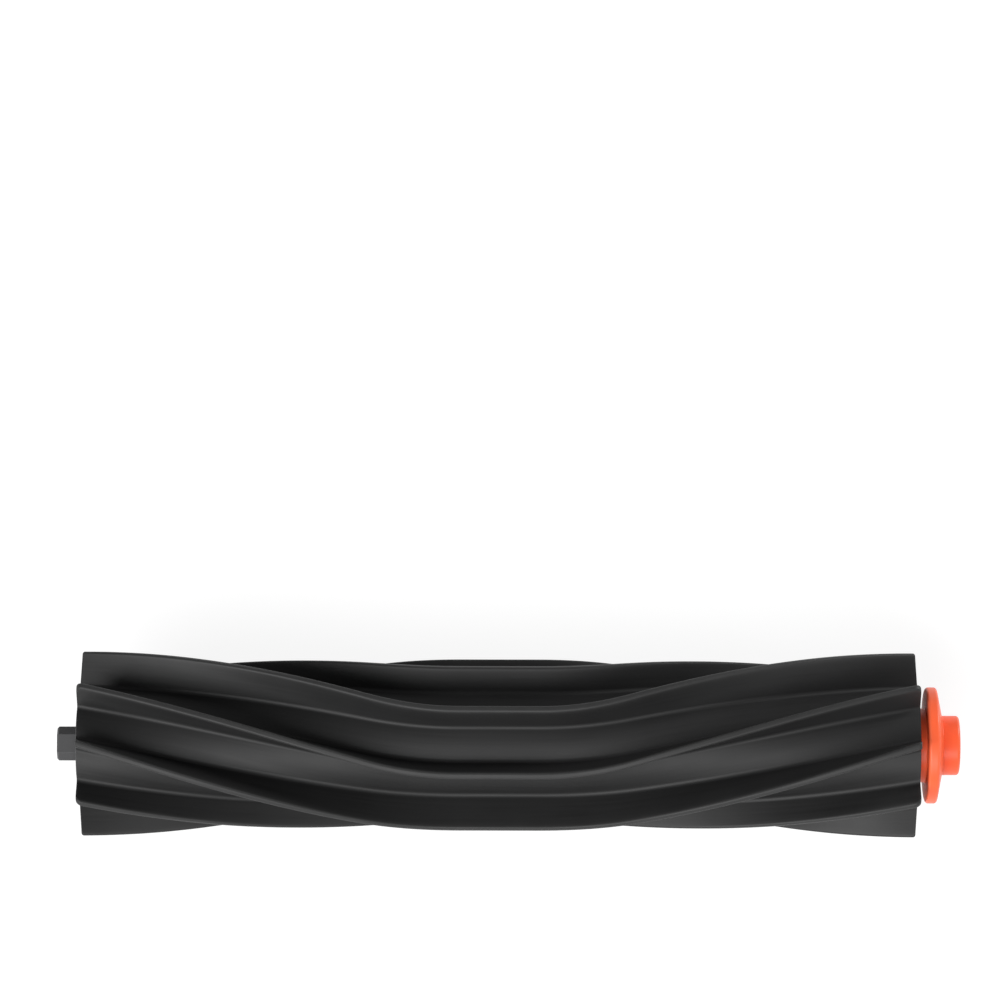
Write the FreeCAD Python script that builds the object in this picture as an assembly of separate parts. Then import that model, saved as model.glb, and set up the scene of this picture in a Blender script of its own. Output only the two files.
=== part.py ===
"""Rubber-finned main roller of a robot vacuum, with its pull-off bearing cap.

X runs along the roller's axis, from the square drive to the bearing cap, and Z is up.
The origin is on the axis, halfway along the whole part. Sizes are in millimetres, angles in degrees.
"""
import FreeCAD
import Part
import math
import os

# Rubber sleeve and its fins
SLEEVE_LENGTH = 165.1
FLOOR_RADIUS = 11.0  # rubber surface between the fins
TALL_FIN_RADIUS = 18.15
SHORT_FIN_RADIUS = 16.5
FIN_PAIRS = 4  # a pair is a tall fin and the short fin after it
FIN_ROOT_THICKNESS = 1.6
FIN_TIP_THICKNESS = 1.4
FIN_ROOT_FLARE = 0.6  # by which a fin widens to either side where it meets the floor
TALL_CORNER_RADIUS = 0.5  # rounding of a tall fin's end corners
SHORT_CORNER_RADIUS = 1.2
TALL_END_LEAN = 0.35  # by which a tall fin's ends lean back from the floor to the tip
FIN_TWIST = 67.5  # turn of a fin from either end to the middle
MIDDLE_LAND = 15.6  # stretch at the middle where the fins run straight
TWIST_BLEND = 18.5  # stretch beside the land where the twist builds up

# Core tube under the rubber
CORE_RADIUS = 9.0
CORE_BORE_RADIUS = 6.8
CORE_EDGE_CHAMFER = 0.4

# Drive plug with the square pin
DRIVE_FLANGE_RADIUS = 8.8
DRIVE_FLANGE_THICKNESS = 1.0
DRIVE_FLANGE_PROUD = 0.3  # by which the flange stands out of the rubber
DRIVE_FLANGE_CHAMFER = 0.2
PIN_LENGTH = 4.1  # beyond the flange
PIN_ACROSS_FLATS = 6.7
PIN_CORNER_CHAMFER = 1.5
PIN_END_CHAMFER = 0.4
PIN_BACKING = 3.0  # solid plastic behind the pin, inside the core
SPIGOT_LENGTH = 14.0
SPIGOT_WALL = 1.8
SPIGOT_LEAD = 0.5

# Bearing cap
CAP_GAP = 1.55  # between the rubber's end and the flange
COLLAR_RADIUS = 7.3
COLLAR_INSERTION = 5.65  # length of the collar inside the core
COLLAR_EDGE_CHAMFER = 0.4
FLANGE_RADIUS = 11.45
FLANGE_WIDTH = 2.1
FLANGE_EDGE_RADIUS = 0.55
CONE_LENGTH = 1.05  # sloping face from the flange to the boss
CONE_FOOT_RADIUS = 6.3
BOSS_RADIUS = 5.85
BOSS_LENGTH = 3.45
BOSS_EDGE_RADIUS = 0.6
BOSS_END_WALL = 1.8
BOSS_WALL = 2.2

# Ball bearing
BEARING_BORE = 4.0
BEARING_OUTER = 11.0
BEARING_WIDTH = 4.0
BEARING_RECESS = 1.0  # from the collar's end to the bearing
BALL_COUNT = 7
BALL_DIAMETER = 2.0
GROOVE_DEPTH = 0.25  # depth of the balls' groove in either ring
CAGE_THICKNESS = 0.9
CAGE_WIDTH = 2.6
SHIELD_THICKNESS = 0.3
SHIELD_RECESS = 0.1
SHIELD_SEAT_STEP = 0.3  # radial width of the step that carries a shield

# Axle and the plug that holds it
AXLE_GRIP = 9.0  # length of the axle behind the plug's rim
AXLE_TIP = 0.9  # reach of the axle past the bearing
AXLE_CHAMFER = 0.4
PLUG_LENGTH = 10.0
PLUG_RIM_THICKNESS = 1.2
PLUG_WALL = 1.6
NOSE_INSET = 0.2  # by which the plug's nose is smaller than the bearing's inner ring

# Clearances
GLUE_FILM = 0.05
PRESS_GAP = 0.01
AXLE_CLEARANCE = 0.02
BALL_CLEARANCE = 0.03
CAGE_CLEARANCE = 0.08
SHIELD_CLEARANCE = 0.2
COLLAR_CLEARANCE = 0.4
COLLAR_END_GAP = 1.0

# How a fin is drawn
FIN_SECTIONS = 41
CORNER_RELIEF = 0.1  # gap from a fin's tip to the round blank that trims its end corners

# Places along the axis
drive_reach = DRIVE_FLANGE_PROUD + PIN_LENGTH
cap_reach = CAP_GAP + FLANGE_WIDTH + CONE_LENGTH + BOSS_LENGTH
overall_length = drive_reach + SLEEVE_LENGTH + cap_reach
pin_end = -overall_length / 2
sleeve_start = pin_end + drive_reach
sleeve_end = sleeve_start + SLEEVE_LENGTH
sleeve_middle = (sleeve_start + sleeve_end) / 2
drive_flange_face = pin_end + PIN_LENGTH
core_start = drive_flange_face + DRIVE_FLANGE_THICKNESS
flange_back = sleeve_end + CAP_GAP
flange_front = flange_back + FLANGE_WIDTH
boss_foot = flange_front + CONE_LENGTH
boss_end = boss_foot + BOSS_LENGTH
collar_end = sleeve_end - COLLAR_INSERTION
bearing_start = collar_end + BEARING_RECESS
bearing_middle = bearing_start + BEARING_WIDTH / 2
bearing_end = bearing_start + BEARING_WIDTH
plug_face = collar_end - COLLAR_END_GAP
recess_floor = plug_face - PLUG_RIM_THICKNESS

# Radii that follow from the fits
sleeve_bore_radius = CORE_RADIUS + GLUE_FILM
spigot_radius = CORE_BORE_RADIUS - GLUE_FILM
recess_radius = COLLAR_RADIUS + COLLAR_CLEARANCE
ring_bore_radius = BEARING_BORE / 2
ring_outer_radius = BEARING_OUTER / 2
axle_radius = ring_bore_radius - AXLE_CLEARANCE
ball_radius = BALL_DIAMETER / 2
pitch_radius = (ring_bore_radius + ring_outer_radius) / 2
inner_shoulder = pitch_radius - ball_radius + GROOVE_DEPTH
outer_shoulder = pitch_radius + ball_radius - GROOVE_DEPTH

# The roller lies on the land of one tall fin and on both ends of the next
tall_pitch = 360 / FIN_PAIRS
resting_angle = (tall_pitch - FIN_TWIST) / 2 - 90

ORIGIN = FreeCAD.Vector(0, 0, 0)
X_AXIS = FreeCAD.Vector(1, 0, 0)


def rounded_face(corners):
    """Flat face in the XZ plane through (x, z, rounding) corners, with tangent arcs at the rounded ones."""
    points = [FreeCAD.Vector(x, 0, z) for x, z, _ in corners]
    following = points[1:] + points[:1]
    bends = []
    for i, (_, _, rounding) in enumerate(corners):
        back = (points[i - 1] - points[i]).normalize()
        ahead = (following[i] - points[i]).normalize()
        half_angle = back.getAngle(ahead) / 2
        setback = rounding / math.tan(half_angle)
        bulge = rounding / math.sin(half_angle) - rounding
        middle = points[i] + (back + ahead).normalize() * bulge if rounding else points[i]
        bends.append((points[i] + back * setback, middle, points[i] + ahead * setback))
    edges = []
    for i, (start, middle, end) in enumerate(bends):
        if corners[i][2]:
            edges.append(Part.Arc(start, middle, end).toShape())
        next_start = bends[(i + 1) % len(bends)][0]
        edges.append(Part.LineSegment(end, next_start).toShape())
    return Part.Face(Part.Wire(edges))


def turned(*corners):
    """Solid of revolution about the roller's axis from (x, radius) or (x, radius, rounding) corners."""
    full = [corner if len(corner) == 3 else (*corner, 0) for corner in corners]
    return rounded_face(full).revolve(ORIGIN, X_AXIS, 360)


def polar(x, radius, angle):
    """Point at a radius and an angle about the axis, counted from +Y towards +Z."""
    turn = math.radians(angle)
    return FreeCAD.Vector(x, radius * math.cos(turn), radius * math.sin(turn))


def twist_run(distance):
    """Length of full twist between the sleeve's middle and a distance from it."""
    past_land = distance - MIDDLE_LAND / 2
    if past_land <= 0:
        return 0
    if past_land <= TWIST_BLEND:
        return past_land**2 / (2 * TWIST_BLEND)
    return past_land - TWIST_BLEND / 2


def fin_turn(x):
    """Turn of every fin at a place along the axis: none at the ends, the full twist in the middle."""
    return FIN_TWIST * (1 - twist_run(abs(x - sleeve_middle)) / twist_run(SLEEVE_LENGTH / 2))


def fin_section(x, tip_radius, end_angle):
    """Outline of a fin across the axis, from inside the sleeve's wall to its tip."""
    tip_half = FIN_TIP_THICKNESS / 2
    side = [
        (FLOOR_RADIUS - FIN_ROOT_FLARE, FIN_ROOT_THICKNESS / 2 + 2 * FIN_ROOT_FLARE),
        (FLOOR_RADIUS + FIN_ROOT_FLARE, FIN_ROOT_THICKNESS / 2),
        (math.sqrt(tip_radius**2 - tip_half**2), tip_half),
    ]
    outline = side + [(outward, -sideways) for outward, sideways in reversed(side)]
    angle = end_angle + fin_turn(x)
    points = []
    for outward, sideways in outline:
        lean = math.degrees(math.atan2(sideways, outward))
        points.append(polar(x, math.hypot(outward, sideways), angle + lean))
    return Part.makePolygon(points + points[:1])


def make_fin(tip_radius, corner_radius, end_angle, end_lean=0):
    """Twisted blade, trimmed by a round blank with rounded ends that may lean back above the floor."""
    step = SLEEVE_LENGTH / (FIN_SECTIONS - 1)
    places = [sleeve_start + step * i for i in range(FIN_SECTIONS)]
    blade = Part.makeLoft([fin_section(x, tip_radius, end_angle) for x in places], True)
    blank_radius = tip_radius + CORNER_RELIEF
    blank = turned(
        (sleeve_start, 0),
        (sleeve_start, FLOOR_RADIUS),
        (sleeve_start + end_lean, blank_radius, corner_radius),
        (sleeve_end - end_lean, blank_radius, corner_radius),
        (sleeve_end, FLOOR_RADIUS),
        (sleeve_end, 0),
    )
    return blade.common(blank)


def make_finned_sleeve():
    """Rubber tube with tall and short fins in turn, bonded to the core."""
    tube = turned(
        (sleeve_start, sleeve_bore_radius),
        (sleeve_start, FLOOR_RADIUS),
        (sleeve_end, FLOOR_RADIUS),
        (sleeve_end, sleeve_bore_radius),
    )
    tall = make_fin(TALL_FIN_RADIUS, TALL_CORNER_RADIUS, resting_angle, TALL_END_LEAN)
    short = make_fin(SHORT_FIN_RADIUS, SHORT_CORNER_RADIUS, resting_angle + tall_pitch / 2)
    fins = []
    for i in range(FIN_PAIRS):
        fins += [fin.rotated(ORIGIN, X_AXIS, i * tall_pitch) for fin in (tall, short)]
    return tube.fuse(fins).removeSplitter()


def make_roller_core():
    """Plastic tube with a wider recess for the cap's collar."""
    chamfer = CORE_EDGE_CHAMFER
    return turned(
        (core_start, CORE_BORE_RADIUS + chamfer),
        (core_start, CORE_RADIUS),
        (sleeve_end, CORE_RADIUS),
        (sleeve_end, recess_radius + chamfer),
        (sleeve_end - chamfer, recess_radius),
        (recess_floor, recess_radius),
        (recess_floor, CORE_BORE_RADIUS),
        (core_start + chamfer, CORE_BORE_RADIUS),
    )


def make_drive_pin():
    """Square pin in line with the fins, with bevelled corners and end, reaching back through the flange."""
    half = PIN_ACROSS_FLATS / 2
    short = half - PIN_CORNER_CHAMFER
    corners = [(half, short), (short, half), (-short, half), (-half, short)]
    outline = corners + [(-y, -z) for y, z in corners]
    points = [FreeCAD.Vector(pin_end, y, z) for y, z in outline]
    face = Part.Face(Part.makePolygon(points + points[:1]))
    pin = face.extrude(X_AXIS * (core_start - pin_end))
    end_edges = [edge for edge in pin.Edges if edge.BoundBox.XMax < pin_end + PIN_END_CHAMFER]
    return pin.makeChamfer(PIN_END_CHAMFER, end_edges).rotated(ORIGIN, X_AXIS, resting_angle)


def make_drive_plug():
    """Plug with a hollow spigot in the core, a thin flange over the core's end and the drive pin."""
    spigot_end = core_start + SPIGOT_LENGTH
    hollow = core_start + PIN_BACKING
    plug = turned(
        (drive_flange_face, 0),
        (drive_flange_face, DRIVE_FLANGE_RADIUS - DRIVE_FLANGE_CHAMFER),
        (drive_flange_face + DRIVE_FLANGE_CHAMFER, DRIVE_FLANGE_RADIUS),
        (core_start, DRIVE_FLANGE_RADIUS),
        (core_start, spigot_radius),
        (spigot_end - SPIGOT_LEAD, spigot_radius),
        (spigot_end, spigot_radius - SPIGOT_LEAD),
        (spigot_end, spigot_radius - SPIGOT_WALL),
        (hollow, spigot_radius - SPIGOT_WALL),
        (hollow, 0),
    )
    return plug.fuse(make_drive_pin()).removeSplitter()


def make_axle_plug():
    """Plug seated in the core's recess, with a hub for the axle and a nose that meets the bearing."""
    bore = axle_radius + PRESS_GAP
    back = recess_floor - PLUG_LENGTH
    nose_radius = inner_shoulder - NOSE_INSET
    rim_radius = recess_radius - GLUE_FILM
    skirt_inside = spigot_radius - PLUG_WALL
    hub_radius = axle_radius + PLUG_WALL
    hollow = recess_floor - PLUG_WALL
    return turned(
        (bearing_start, bore),
        (bearing_start, nose_radius),
        (plug_face, nose_radius),
        (plug_face, rim_radius),
        (recess_floor, rim_radius),
        (recess_floor, spigot_radius),
        (back, spigot_radius),
        (back, skirt_inside),
        (hollow, skirt_inside),
        (hollow, hub_radius),
        (back, hub_radius),
        (back, bore),
    )


def make_axle():
    """Steel stub with bevelled ends, pressed into its plug."""
    start = recess_floor - AXLE_GRIP
    tip = bearing_end + AXLE_TIP
    bevel_radius = axle_radius - AXLE_CHAMFER
    return turned(
        (start, 0),
        (start, bevel_radius),
        (start + AXLE_CHAMFER, axle_radius),
        (tip - AXLE_CHAMFER, axle_radius),
        (tip, bevel_radius),
        (tip, 0),
    )


def ball_groove():
    """Ring-shaped space that the balls run in."""
    centre = polar(bearing_middle, 0, 0)
    return Part.makeTorus(pitch_radius, ball_radius + BALL_CLEARANCE, centre, X_AXIS)


def make_inner_ring():
    """Bearing ring that sits on the axle."""
    ring = turned(
        (bearing_start, ring_bore_radius),
        (bearing_start, inner_shoulder),
        (bearing_end, inner_shoulder),
        (bearing_end, ring_bore_radius),
    )
    return ring.cut(ball_groove())


def make_outer_ring():
    """Bearing ring pressed into the cap, stepped at both ends for the shields."""
    seat_radius = outer_shoulder + SHIELD_SEAT_STEP
    seat_depth = SHIELD_RECESS + SHIELD_THICKNESS
    ring = turned(
        (bearing_start, seat_radius),
        (bearing_start, ring_outer_radius),
        (bearing_end, ring_outer_radius),
        (bearing_end, seat_radius),
        (bearing_end - seat_depth, seat_radius),
        (bearing_end - seat_depth, outer_shoulder),
        (bearing_start + seat_depth, outer_shoulder),
        (bearing_start + seat_depth, seat_radius),
    )
    return ring.cut(ball_groove())


def make_shield(outer_face, inward):
    """Thin ring that closes one side of the bearing; inward is the way along X to the balls."""
    first = outer_face + inward * SHIELD_RECESS
    second = first + inward * SHIELD_THICKNESS
    bore = inner_shoulder + SHIELD_CLEARANCE
    rim = outer_shoulder + SHIELD_SEAT_STEP - PRESS_GAP
    return turned((first, bore), (first, rim), (second, rim), (second, bore))


def spheres(radius):
    """One sphere of a radius at every ball's place."""
    angles = [360 * i / BALL_COUNT for i in range(BALL_COUNT)]
    return [Part.makeSphere(radius, polar(bearing_middle, pitch_radius, angle)) for angle in angles]


def make_balls():
    """The bearing's balls, as separate solids."""
    return Part.makeCompound(spheres(ball_radius))


def make_ball_cage():
    """Ring with a pocket for every ball."""
    start = bearing_middle - CAGE_WIDTH / 2
    end = bearing_middle + CAGE_WIDTH / 2
    inside = pitch_radius - CAGE_THICKNESS / 2
    outside = pitch_radius + CAGE_THICKNESS / 2
    ring = turned((start, inside), (start, outside), (end, outside), (end, inside))
    return ring.cut(spheres(ball_radius + CAGE_CLEARANCE))


def make_end_cap():
    """Cap with a collar round the bearing, a flange, a sloping face and a hollow round boss."""
    pocket = ring_outer_radius + PRESS_GAP
    hollow_radius = BOSS_RADIUS - BOSS_WALL
    hollow_end = boss_end - BOSS_END_WALL
    return turned(
        (collar_end, pocket),
        (collar_end, COLLAR_RADIUS - COLLAR_EDGE_CHAMFER),
        (collar_end + COLLAR_EDGE_CHAMFER, COLLAR_RADIUS),
        (flange_back, COLLAR_RADIUS),
        (flange_back, FLANGE_RADIUS, FLANGE_EDGE_RADIUS),
        (flange_front, FLANGE_RADIUS, FLANGE_EDGE_RADIUS),
        (boss_foot, CONE_FOOT_RADIUS),
        (boss_foot, BOSS_RADIUS),
        (boss_end, BOSS_RADIUS, BOSS_EDGE_RADIUS),
        (boss_end, 0),
        (hollow_end, 0),
        (hollow_end, hollow_radius),
        (bearing_end, hollow_radius),
        (bearing_end, pocket),
    )


pieces = {
    "finned_sleeve": make_finned_sleeve(),
    "roller_core": make_roller_core(),
    "drive_plug": make_drive_plug(),
    "axle_plug": make_axle_plug(),
    "axle": make_axle(),
    "bearing_inner_ring": make_inner_ring(),
    "bearing_outer_ring": make_outer_ring(),
    "bearing_balls": make_balls(),
    "ball_cage": make_ball_cage(),
    "shield_inboard": make_shield(bearing_start, 1),
    "shield_outboard": make_shield(bearing_end, -1),
    "end_cap": make_end_cap(),
}

os.makedirs("parts", exist_ok=True)
for name, shape in pieces.items():
    shape.exportStep(f"parts/{name}.step")
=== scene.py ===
"""Looks of a robot vacuum roller brush: rubber sleeve, bearing cap, drive plug, finishes and stage.

Lengths are metres in the packed frame, where +X runs along the axis from the drive pin to the cap.
"""

import math

import bpy
from bpy.props import FloatProperty, FloatVectorProperty, IntProperty, PointerProperty
from mathutils import Matrix, Vector


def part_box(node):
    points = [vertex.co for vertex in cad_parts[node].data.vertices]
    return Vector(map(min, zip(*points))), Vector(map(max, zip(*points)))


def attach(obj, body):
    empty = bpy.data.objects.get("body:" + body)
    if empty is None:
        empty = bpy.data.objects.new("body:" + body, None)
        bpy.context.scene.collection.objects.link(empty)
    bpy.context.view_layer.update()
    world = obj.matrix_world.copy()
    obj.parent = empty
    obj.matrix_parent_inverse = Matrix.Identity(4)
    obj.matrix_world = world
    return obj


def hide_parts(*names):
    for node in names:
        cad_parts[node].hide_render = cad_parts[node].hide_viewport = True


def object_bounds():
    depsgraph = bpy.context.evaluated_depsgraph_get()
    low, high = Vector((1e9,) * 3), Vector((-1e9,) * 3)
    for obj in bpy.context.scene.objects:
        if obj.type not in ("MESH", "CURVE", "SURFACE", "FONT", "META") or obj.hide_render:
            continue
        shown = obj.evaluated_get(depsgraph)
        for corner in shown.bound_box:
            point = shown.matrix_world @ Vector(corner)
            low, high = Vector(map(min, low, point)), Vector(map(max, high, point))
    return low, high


bl_info = {
    "name": "Roller Brush Looks",
    "version": (1, 0, 0),
    "blender": (4, 5, 0),
    "location": "3D View > Sidebar > Roller Brush",
    "description": "Builds the visible pieces, finishes and stage of a robot vacuum roller brush",
    "category": "Object",
}

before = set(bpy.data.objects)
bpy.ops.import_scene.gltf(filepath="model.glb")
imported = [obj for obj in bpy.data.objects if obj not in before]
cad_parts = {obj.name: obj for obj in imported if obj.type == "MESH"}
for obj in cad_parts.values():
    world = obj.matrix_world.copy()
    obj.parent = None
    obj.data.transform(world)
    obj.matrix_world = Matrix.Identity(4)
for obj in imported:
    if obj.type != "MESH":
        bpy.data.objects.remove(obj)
cad_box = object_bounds()
sleeve_low, sleeve_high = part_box("finned_sleeve")
cap_low, cap_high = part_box("end_cap")
plug_low, plug_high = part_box("drive_plug")

# Outline of the sleeve: four corners for each fin, then points along the floor to the next fin
FIN_CORNERS = 4
FLOOR_POINTS = 4
OUTLINE_POINTS = FIN_CORNERS + FLOOR_POINTS
FILLET_STEPS = 5
LENGTH_STEPS = 220
WELD_DISTANCE = 2e-6
CREASE_ANGLE = math.radians(38)

# Wander of the soft fin tips, which dies away at the sleeve's ends
WAVE_PITCH = 0.024
WAVE_SEED = 7.0
CALM_POWER = 8

# Turned pieces
TURN_STEPS = 144
ROUNDING_STEPS = 6
PIN_SIDES = 4
PIN_OUTLINE_STEP = 0.0003

# Sizes of the effects in each kind of finish, in metres
RUBBER_STREAKS = {"Length": 0.03, "Width": 0.0007}
RUBBER_GRAIN = {"Cloud": 0.012, "Grain": 0.0002}
# Tips and edges are painted lighter in patches: part wear, part painted highlight
RUBBER_WEAR_SHEEN = {"Patch": 0.006, "Sharpness": 14.0}
PLASTIC_GRAIN = {"Cloud": 0.004, "Grain": 0.00025}
PLASTIC_RUB = {"Patch": 0.003, "Sharpness": 1.5}
METAL_GRAIN = {"Cloud": 0.002, "Grain": 0.0003}
MARK_STRETCH = 20
RUBBER_RELIEF = 0.00003
PLASTIC_RELIEF = 0.00001
METAL_RELIEF = 0.000004

# How much each effect tells in a colour, a roughness or a relief
# How far tips and edges are painted lighter, as wear and as a painted highlight
WEAR_SHEEN_BASE = 0.4
WEAR_SHEEN_PATCHES = 1.2
WEAR_SHEEN_SHARE = 0.6
RUBBER_SHADE = 0.45
RUBBER_STREAK_SHADE = 0.7
RUBBER_MOTTLE_SHADE = 0.4
RUBBER_MOTTLE_ROUGHNESS = 0.16
RUBBER_STREAK_ROUGHNESS = 0.1
RUBBER_STREAK_RELIEF = 0.7
RUBBER_GRAIN_RELIEF = 0.3
PLASTIC_MOTTLE_SHADE = 0.2
PLASTIC_MOTTLE_ROUGHNESS = 0.12
METAL_STREAK_SHADE = 0.6
METAL_MOTTLE_SHADE = 0.3
METAL_DULL_ROUGHNESS = 0.15

NOISE_MEAN = 0.5
FLOOR_MOTTLE_SCALE = 0.5
FLOOR_MOTTLE = 0.03
BLACK = (0.0, 0.0, 0.0, 1.0)
WHITE = (1.0, 1.0, 1.0, 1.0)

FLOAT = "NodeSocketFloat"
VECTOR = "NodeSocketVector"
MATERIAL = "NodeSocketMaterial"
GEOMETRY = "NodeSocketGeometry"
INTEGER = "NodeSocketInt"


def length(name, description, default):
    """A length in metres, with its sign left free."""
    return FloatProperty(
        name=name,
        description=description,
        default=default,
        precision=5,
        subtype="DISTANCE",
        unit="LENGTH",
    )


def angle(name, description, degrees):
    """An angle, given in degrees."""
    return FloatProperty(
        name=name,
        description=description,
        default=math.radians(degrees),
        subtype="ANGLE",
        unit="ROTATION",
    )


def colour(name, description, default):
    """A colour of a finish, in linear light."""
    return FloatVectorProperty(
        name=name, description=description, default=default, size=3, min=0.0, max=1.0, subtype="COLOR"
    )


def power(name, description, default):
    """The power of a lamp."""
    return FloatProperty(name=name, description=description, default=default, min=0.0, unit="POWER")


def portion(name, description, default):
    """A value from 0 to 1."""
    return FloatProperty(
        name=name, description=description, default=default, min=0.0, max=1.0, subtype="FACTOR"
    )


def lengths(name, description, default):
    """A place or a pair of sides, in metres."""
    return FloatVectorProperty(
        name=name,
        description=description,
        default=default,
        size=len(default),
        subtype="XYZ",
        unit="LENGTH",
    )


class SleeveSizes(bpy.types.PropertyGroup):
    """Sizes of the finned rubber sleeve."""

    start: length("Start", "Place of the sleeve's drive end", sleeve_low.x)
    end: length("End", "Place of the sleeve's cap end", sleeve_high.x)
    bore_radius: length("Bore Radius", "Radius of the hole that holds the core", 0.00905)
    floor_radius: length("Floor Radius", "Radius of the rubber between the fins", 0.011)
    tall_radius: length("Tall Radius", "Radius over the tall fins", 0.01815)
    short_radius: length("Short Radius", "Radius over the short fins", 0.0165)
    fin_pairs: IntProperty(
        name="Fin Pairs", description="Pairs of a tall and a short fin", default=4, min=1
    )
    root_width: length("Root Width", "Thickness of a fin at its root", 0.0016)
    tip_width: length("Tip Width", "Thickness of a fin at its tip", 0.0014)
    root_fillet: length("Root Fillet", "Rounding where a fin meets the floor", 0.0009)
    tip_rounding: length("Tip Rounding", "Rounding of a fin's tip edges", 0.0005)
    tall_corner: length("Tall Corner", "Rounding of a tall fin's end corners", 0.0005)
    short_corner: length("Short Corner", "Rounding of a short fin's end corners", 0.0012)
    tall_lean: length("Tall End Lean", "How far a tall fin's ends lean back from floor to tip", 0.00035)
    end_angle: angle("End Angle", "Turn of the first tall fin at either end", -78.75)
    twist: angle("Twist", "Turn of a fin from either end to the middle", 67.5)
    middle_land: length("Middle Land", "Straight stretch of the fins at the middle", 0.0156)
    twist_blend: length("Twist Blend", "Stretch beside the land where the twist builds up", 0.0185)
    waviness: length("Waviness", "Sideways wander of the soft fin tips", 0.00008)


class CapSizes(bpy.types.PropertyGroup):
    """Sizes of the bearing cap."""

    collar_end: length("Collar End", "Place of the collar's inner end", cap_low.x)
    boss_end: length("Boss End", "Place of the boss's free end", cap_high.x)
    collar_radius: length("Collar Radius", "Radius of the collar round the bearing", 0.0073)
    flange_radius: length("Flange Radius", "Radius of the flange", cap_high.z)
    flange_width: length("Flange Width", "Thickness of the flange", 0.0021)
    flange_rounding: length("Flange Rounding", "Rounding of the flange's edges", 0.00055)
    cone_length: length("Cone Length", "Length of the sloping face before the boss", 0.00105)
    cone_foot_radius: length("Cone Foot Radius", "Radius where the sloping face ends", 0.0063)
    boss_radius: length("Boss Radius", "Radius of the round boss", 0.00585)
    boss_length: length("Boss Length", "Length of the round boss", 0.00345)
    boss_rounding: length("Boss Rounding", "Rounding of the boss's free edge", 0.0006)
    pocket_radius: length("Pocket Radius", "Radius of the bearing's pocket", 0.00551)
    pocket_depth: length("Pocket Depth", "Depth of the bearing's pocket from the collar's end", 0.005)
    hollow_radius: length("Hollow Radius", "Radius of the hollow in the boss", 0.00365)
    end_wall: length("End Wall", "Thickness of the boss's free end", 0.0018)
    cone_rounding: length("Cone Rounding", "Rounding where the sloping face meets the boss", 0.00015)
    small_rounding: length("Small Rounding", "Rounding of the cap's other edges", 0.0003)


class PlugSizes(bpy.types.PropertyGroup):
    """Sizes of the drive plug."""

    pin_end: length("Pin End", "Place of the pin's free end", plug_low.x)
    spigot_end: length("Spigot End", "Place of the spigot's inner end", plug_high.x)
    pin_length: length("Pin Length", "Length of the square pin beyond the flange", 0.0041)
    across_flats: length("Across Flats", "Width of the square pin", 0.0067)
    pin_turn: angle("Pin Turn", "Turn of the pin's flats about the axis", -78.75)
    corner_bevel: length("Corner Bevel", "Bevel of the pin's four long corners", 0.0015)
    end_bevel: length("End Bevel", "Bevel round the pin's free end", 0.0004)
    bevel_rounding: length("Bevel Rounding", "Rounding of the end bevel's edges", 0.0001)
    edge_rounding: length("Edge Rounding", "Rounding of the pin's long edges", 0.00025)
    foot_fillet: length("Foot Fillet", "Rounding where the pin meets the flange", 0.00025)
    flange_radius: length("Flange Radius", "Radius of the thin flange", plug_high.z)
    flange_thickness: length("Flange Thickness", "Thickness of the thin flange", 0.001)
    flange_rounding: length("Flange Rounding", "Rounding of the flange's outer edge", 0.0002)
    spigot_radius: length("Spigot Radius", "Radius of the spigot inside the core", 0.00675)
    spigot_wall: length("Spigot Wall", "Thickness of the spigot's wall", 0.0018)
    spigot_lead: length("Spigot Lead", "Bevel of the spigot's inner end", 0.0005)
    backing: length("Backing", "Solid plastic behind the pin", 0.003)


class FinishSettings(bpy.types.PropertyGroup):
    """Colours, roughness and gloss of the finishes."""

    rubber: colour("Rubber", "Moulded black rubber", (0.0148, 0.0148, 0.015))
    # The fin tips are painted lighter: part wear, part painted highlight
    rubber_rub: colour("Rubbed Rubber", "Rubber where the fin tips rub", (0.034, 0.034, 0.034))
    rubber_roughness: portion("Rubber Roughness", "Least roughness of the rubber", 0.42)
    rubber_gloss: portion("Rubber Gloss", "Strength of the rubber's reflections", 0.37)
    cap: colour("Cap Plastic", "Orange plastic of the cap", (0.97, 0.128, 0.04))
    # Cap edges are painted paler: part wear, part painted highlight
    cap_rub: colour("Rubbed Cap", "Orange plastic along its edges", (0.97, 0.16, 0.07))
    cap_roughness: portion("Cap Roughness", "Mean roughness of the orange plastic", 0.4)
    cap_gloss: portion("Cap Gloss", "Strength of the orange plastic's reflections", 0.35)
    drive: colour("Drive Plastic", "Dark grey plastic of the drive plug", (0.055, 0.055, 0.057))
    # Plug edges are painted paler: part wear, part painted highlight
    drive_rub: colour("Rubbed Drive Plastic", "Grey plastic along its edges", (0.09, 0.09, 0.09))
    drive_roughness: portion("Drive Roughness", "Mean roughness of the grey plastic", 0.5)
    drive_gloss: portion("Drive Gloss", "Strength of the grey plastic's reflections", 0.3)
    core: colour("Core Plastic", "Black plastic of the core and the axle plug", (0.030, 0.030, 0.031))
    core_rub: colour("Pale Core Plastic", "Pale patches of the black plastic", (0.050, 0.050, 0.050))
    core_roughness: portion("Core Roughness", "Mean roughness of the black plastic", 0.5)
    core_gloss: portion("Core Gloss", "Strength of the black plastic's reflections", 0.4)
    steel: colour("Steel", "Ground steel of the axle and the bearing", (0.56, 0.56, 0.57))
    steel_dull: colour("Dark Steel", "Grinding marks in the steel", (0.36, 0.36, 0.37))
    ground_roughness: portion("Ground Roughness", "Least roughness of the ground steel", 0.22)
    ground_marks: length("Ground Marks", "Width of the grinding marks", 0.00004)
    ball_roughness: portion("Ball Roughness", "Least roughness of the polished balls", 0.08)
    ball_marks: length("Ball Marks", "Width of the polishing marks", 0.00002)
    brass: colour("Brass", "Pressed brass of the ball cage", (0.62, 0.45, 0.18))
    brass_dull: colour("Dark Brass", "Dull patches of the brass", (0.42, 0.29, 0.11))
    brass_roughness: portion("Brass Roughness", "Least roughness of the brass", 0.3)
    brass_marks: length("Brass Marks", "Width of the press marks", 0.0001)


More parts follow.
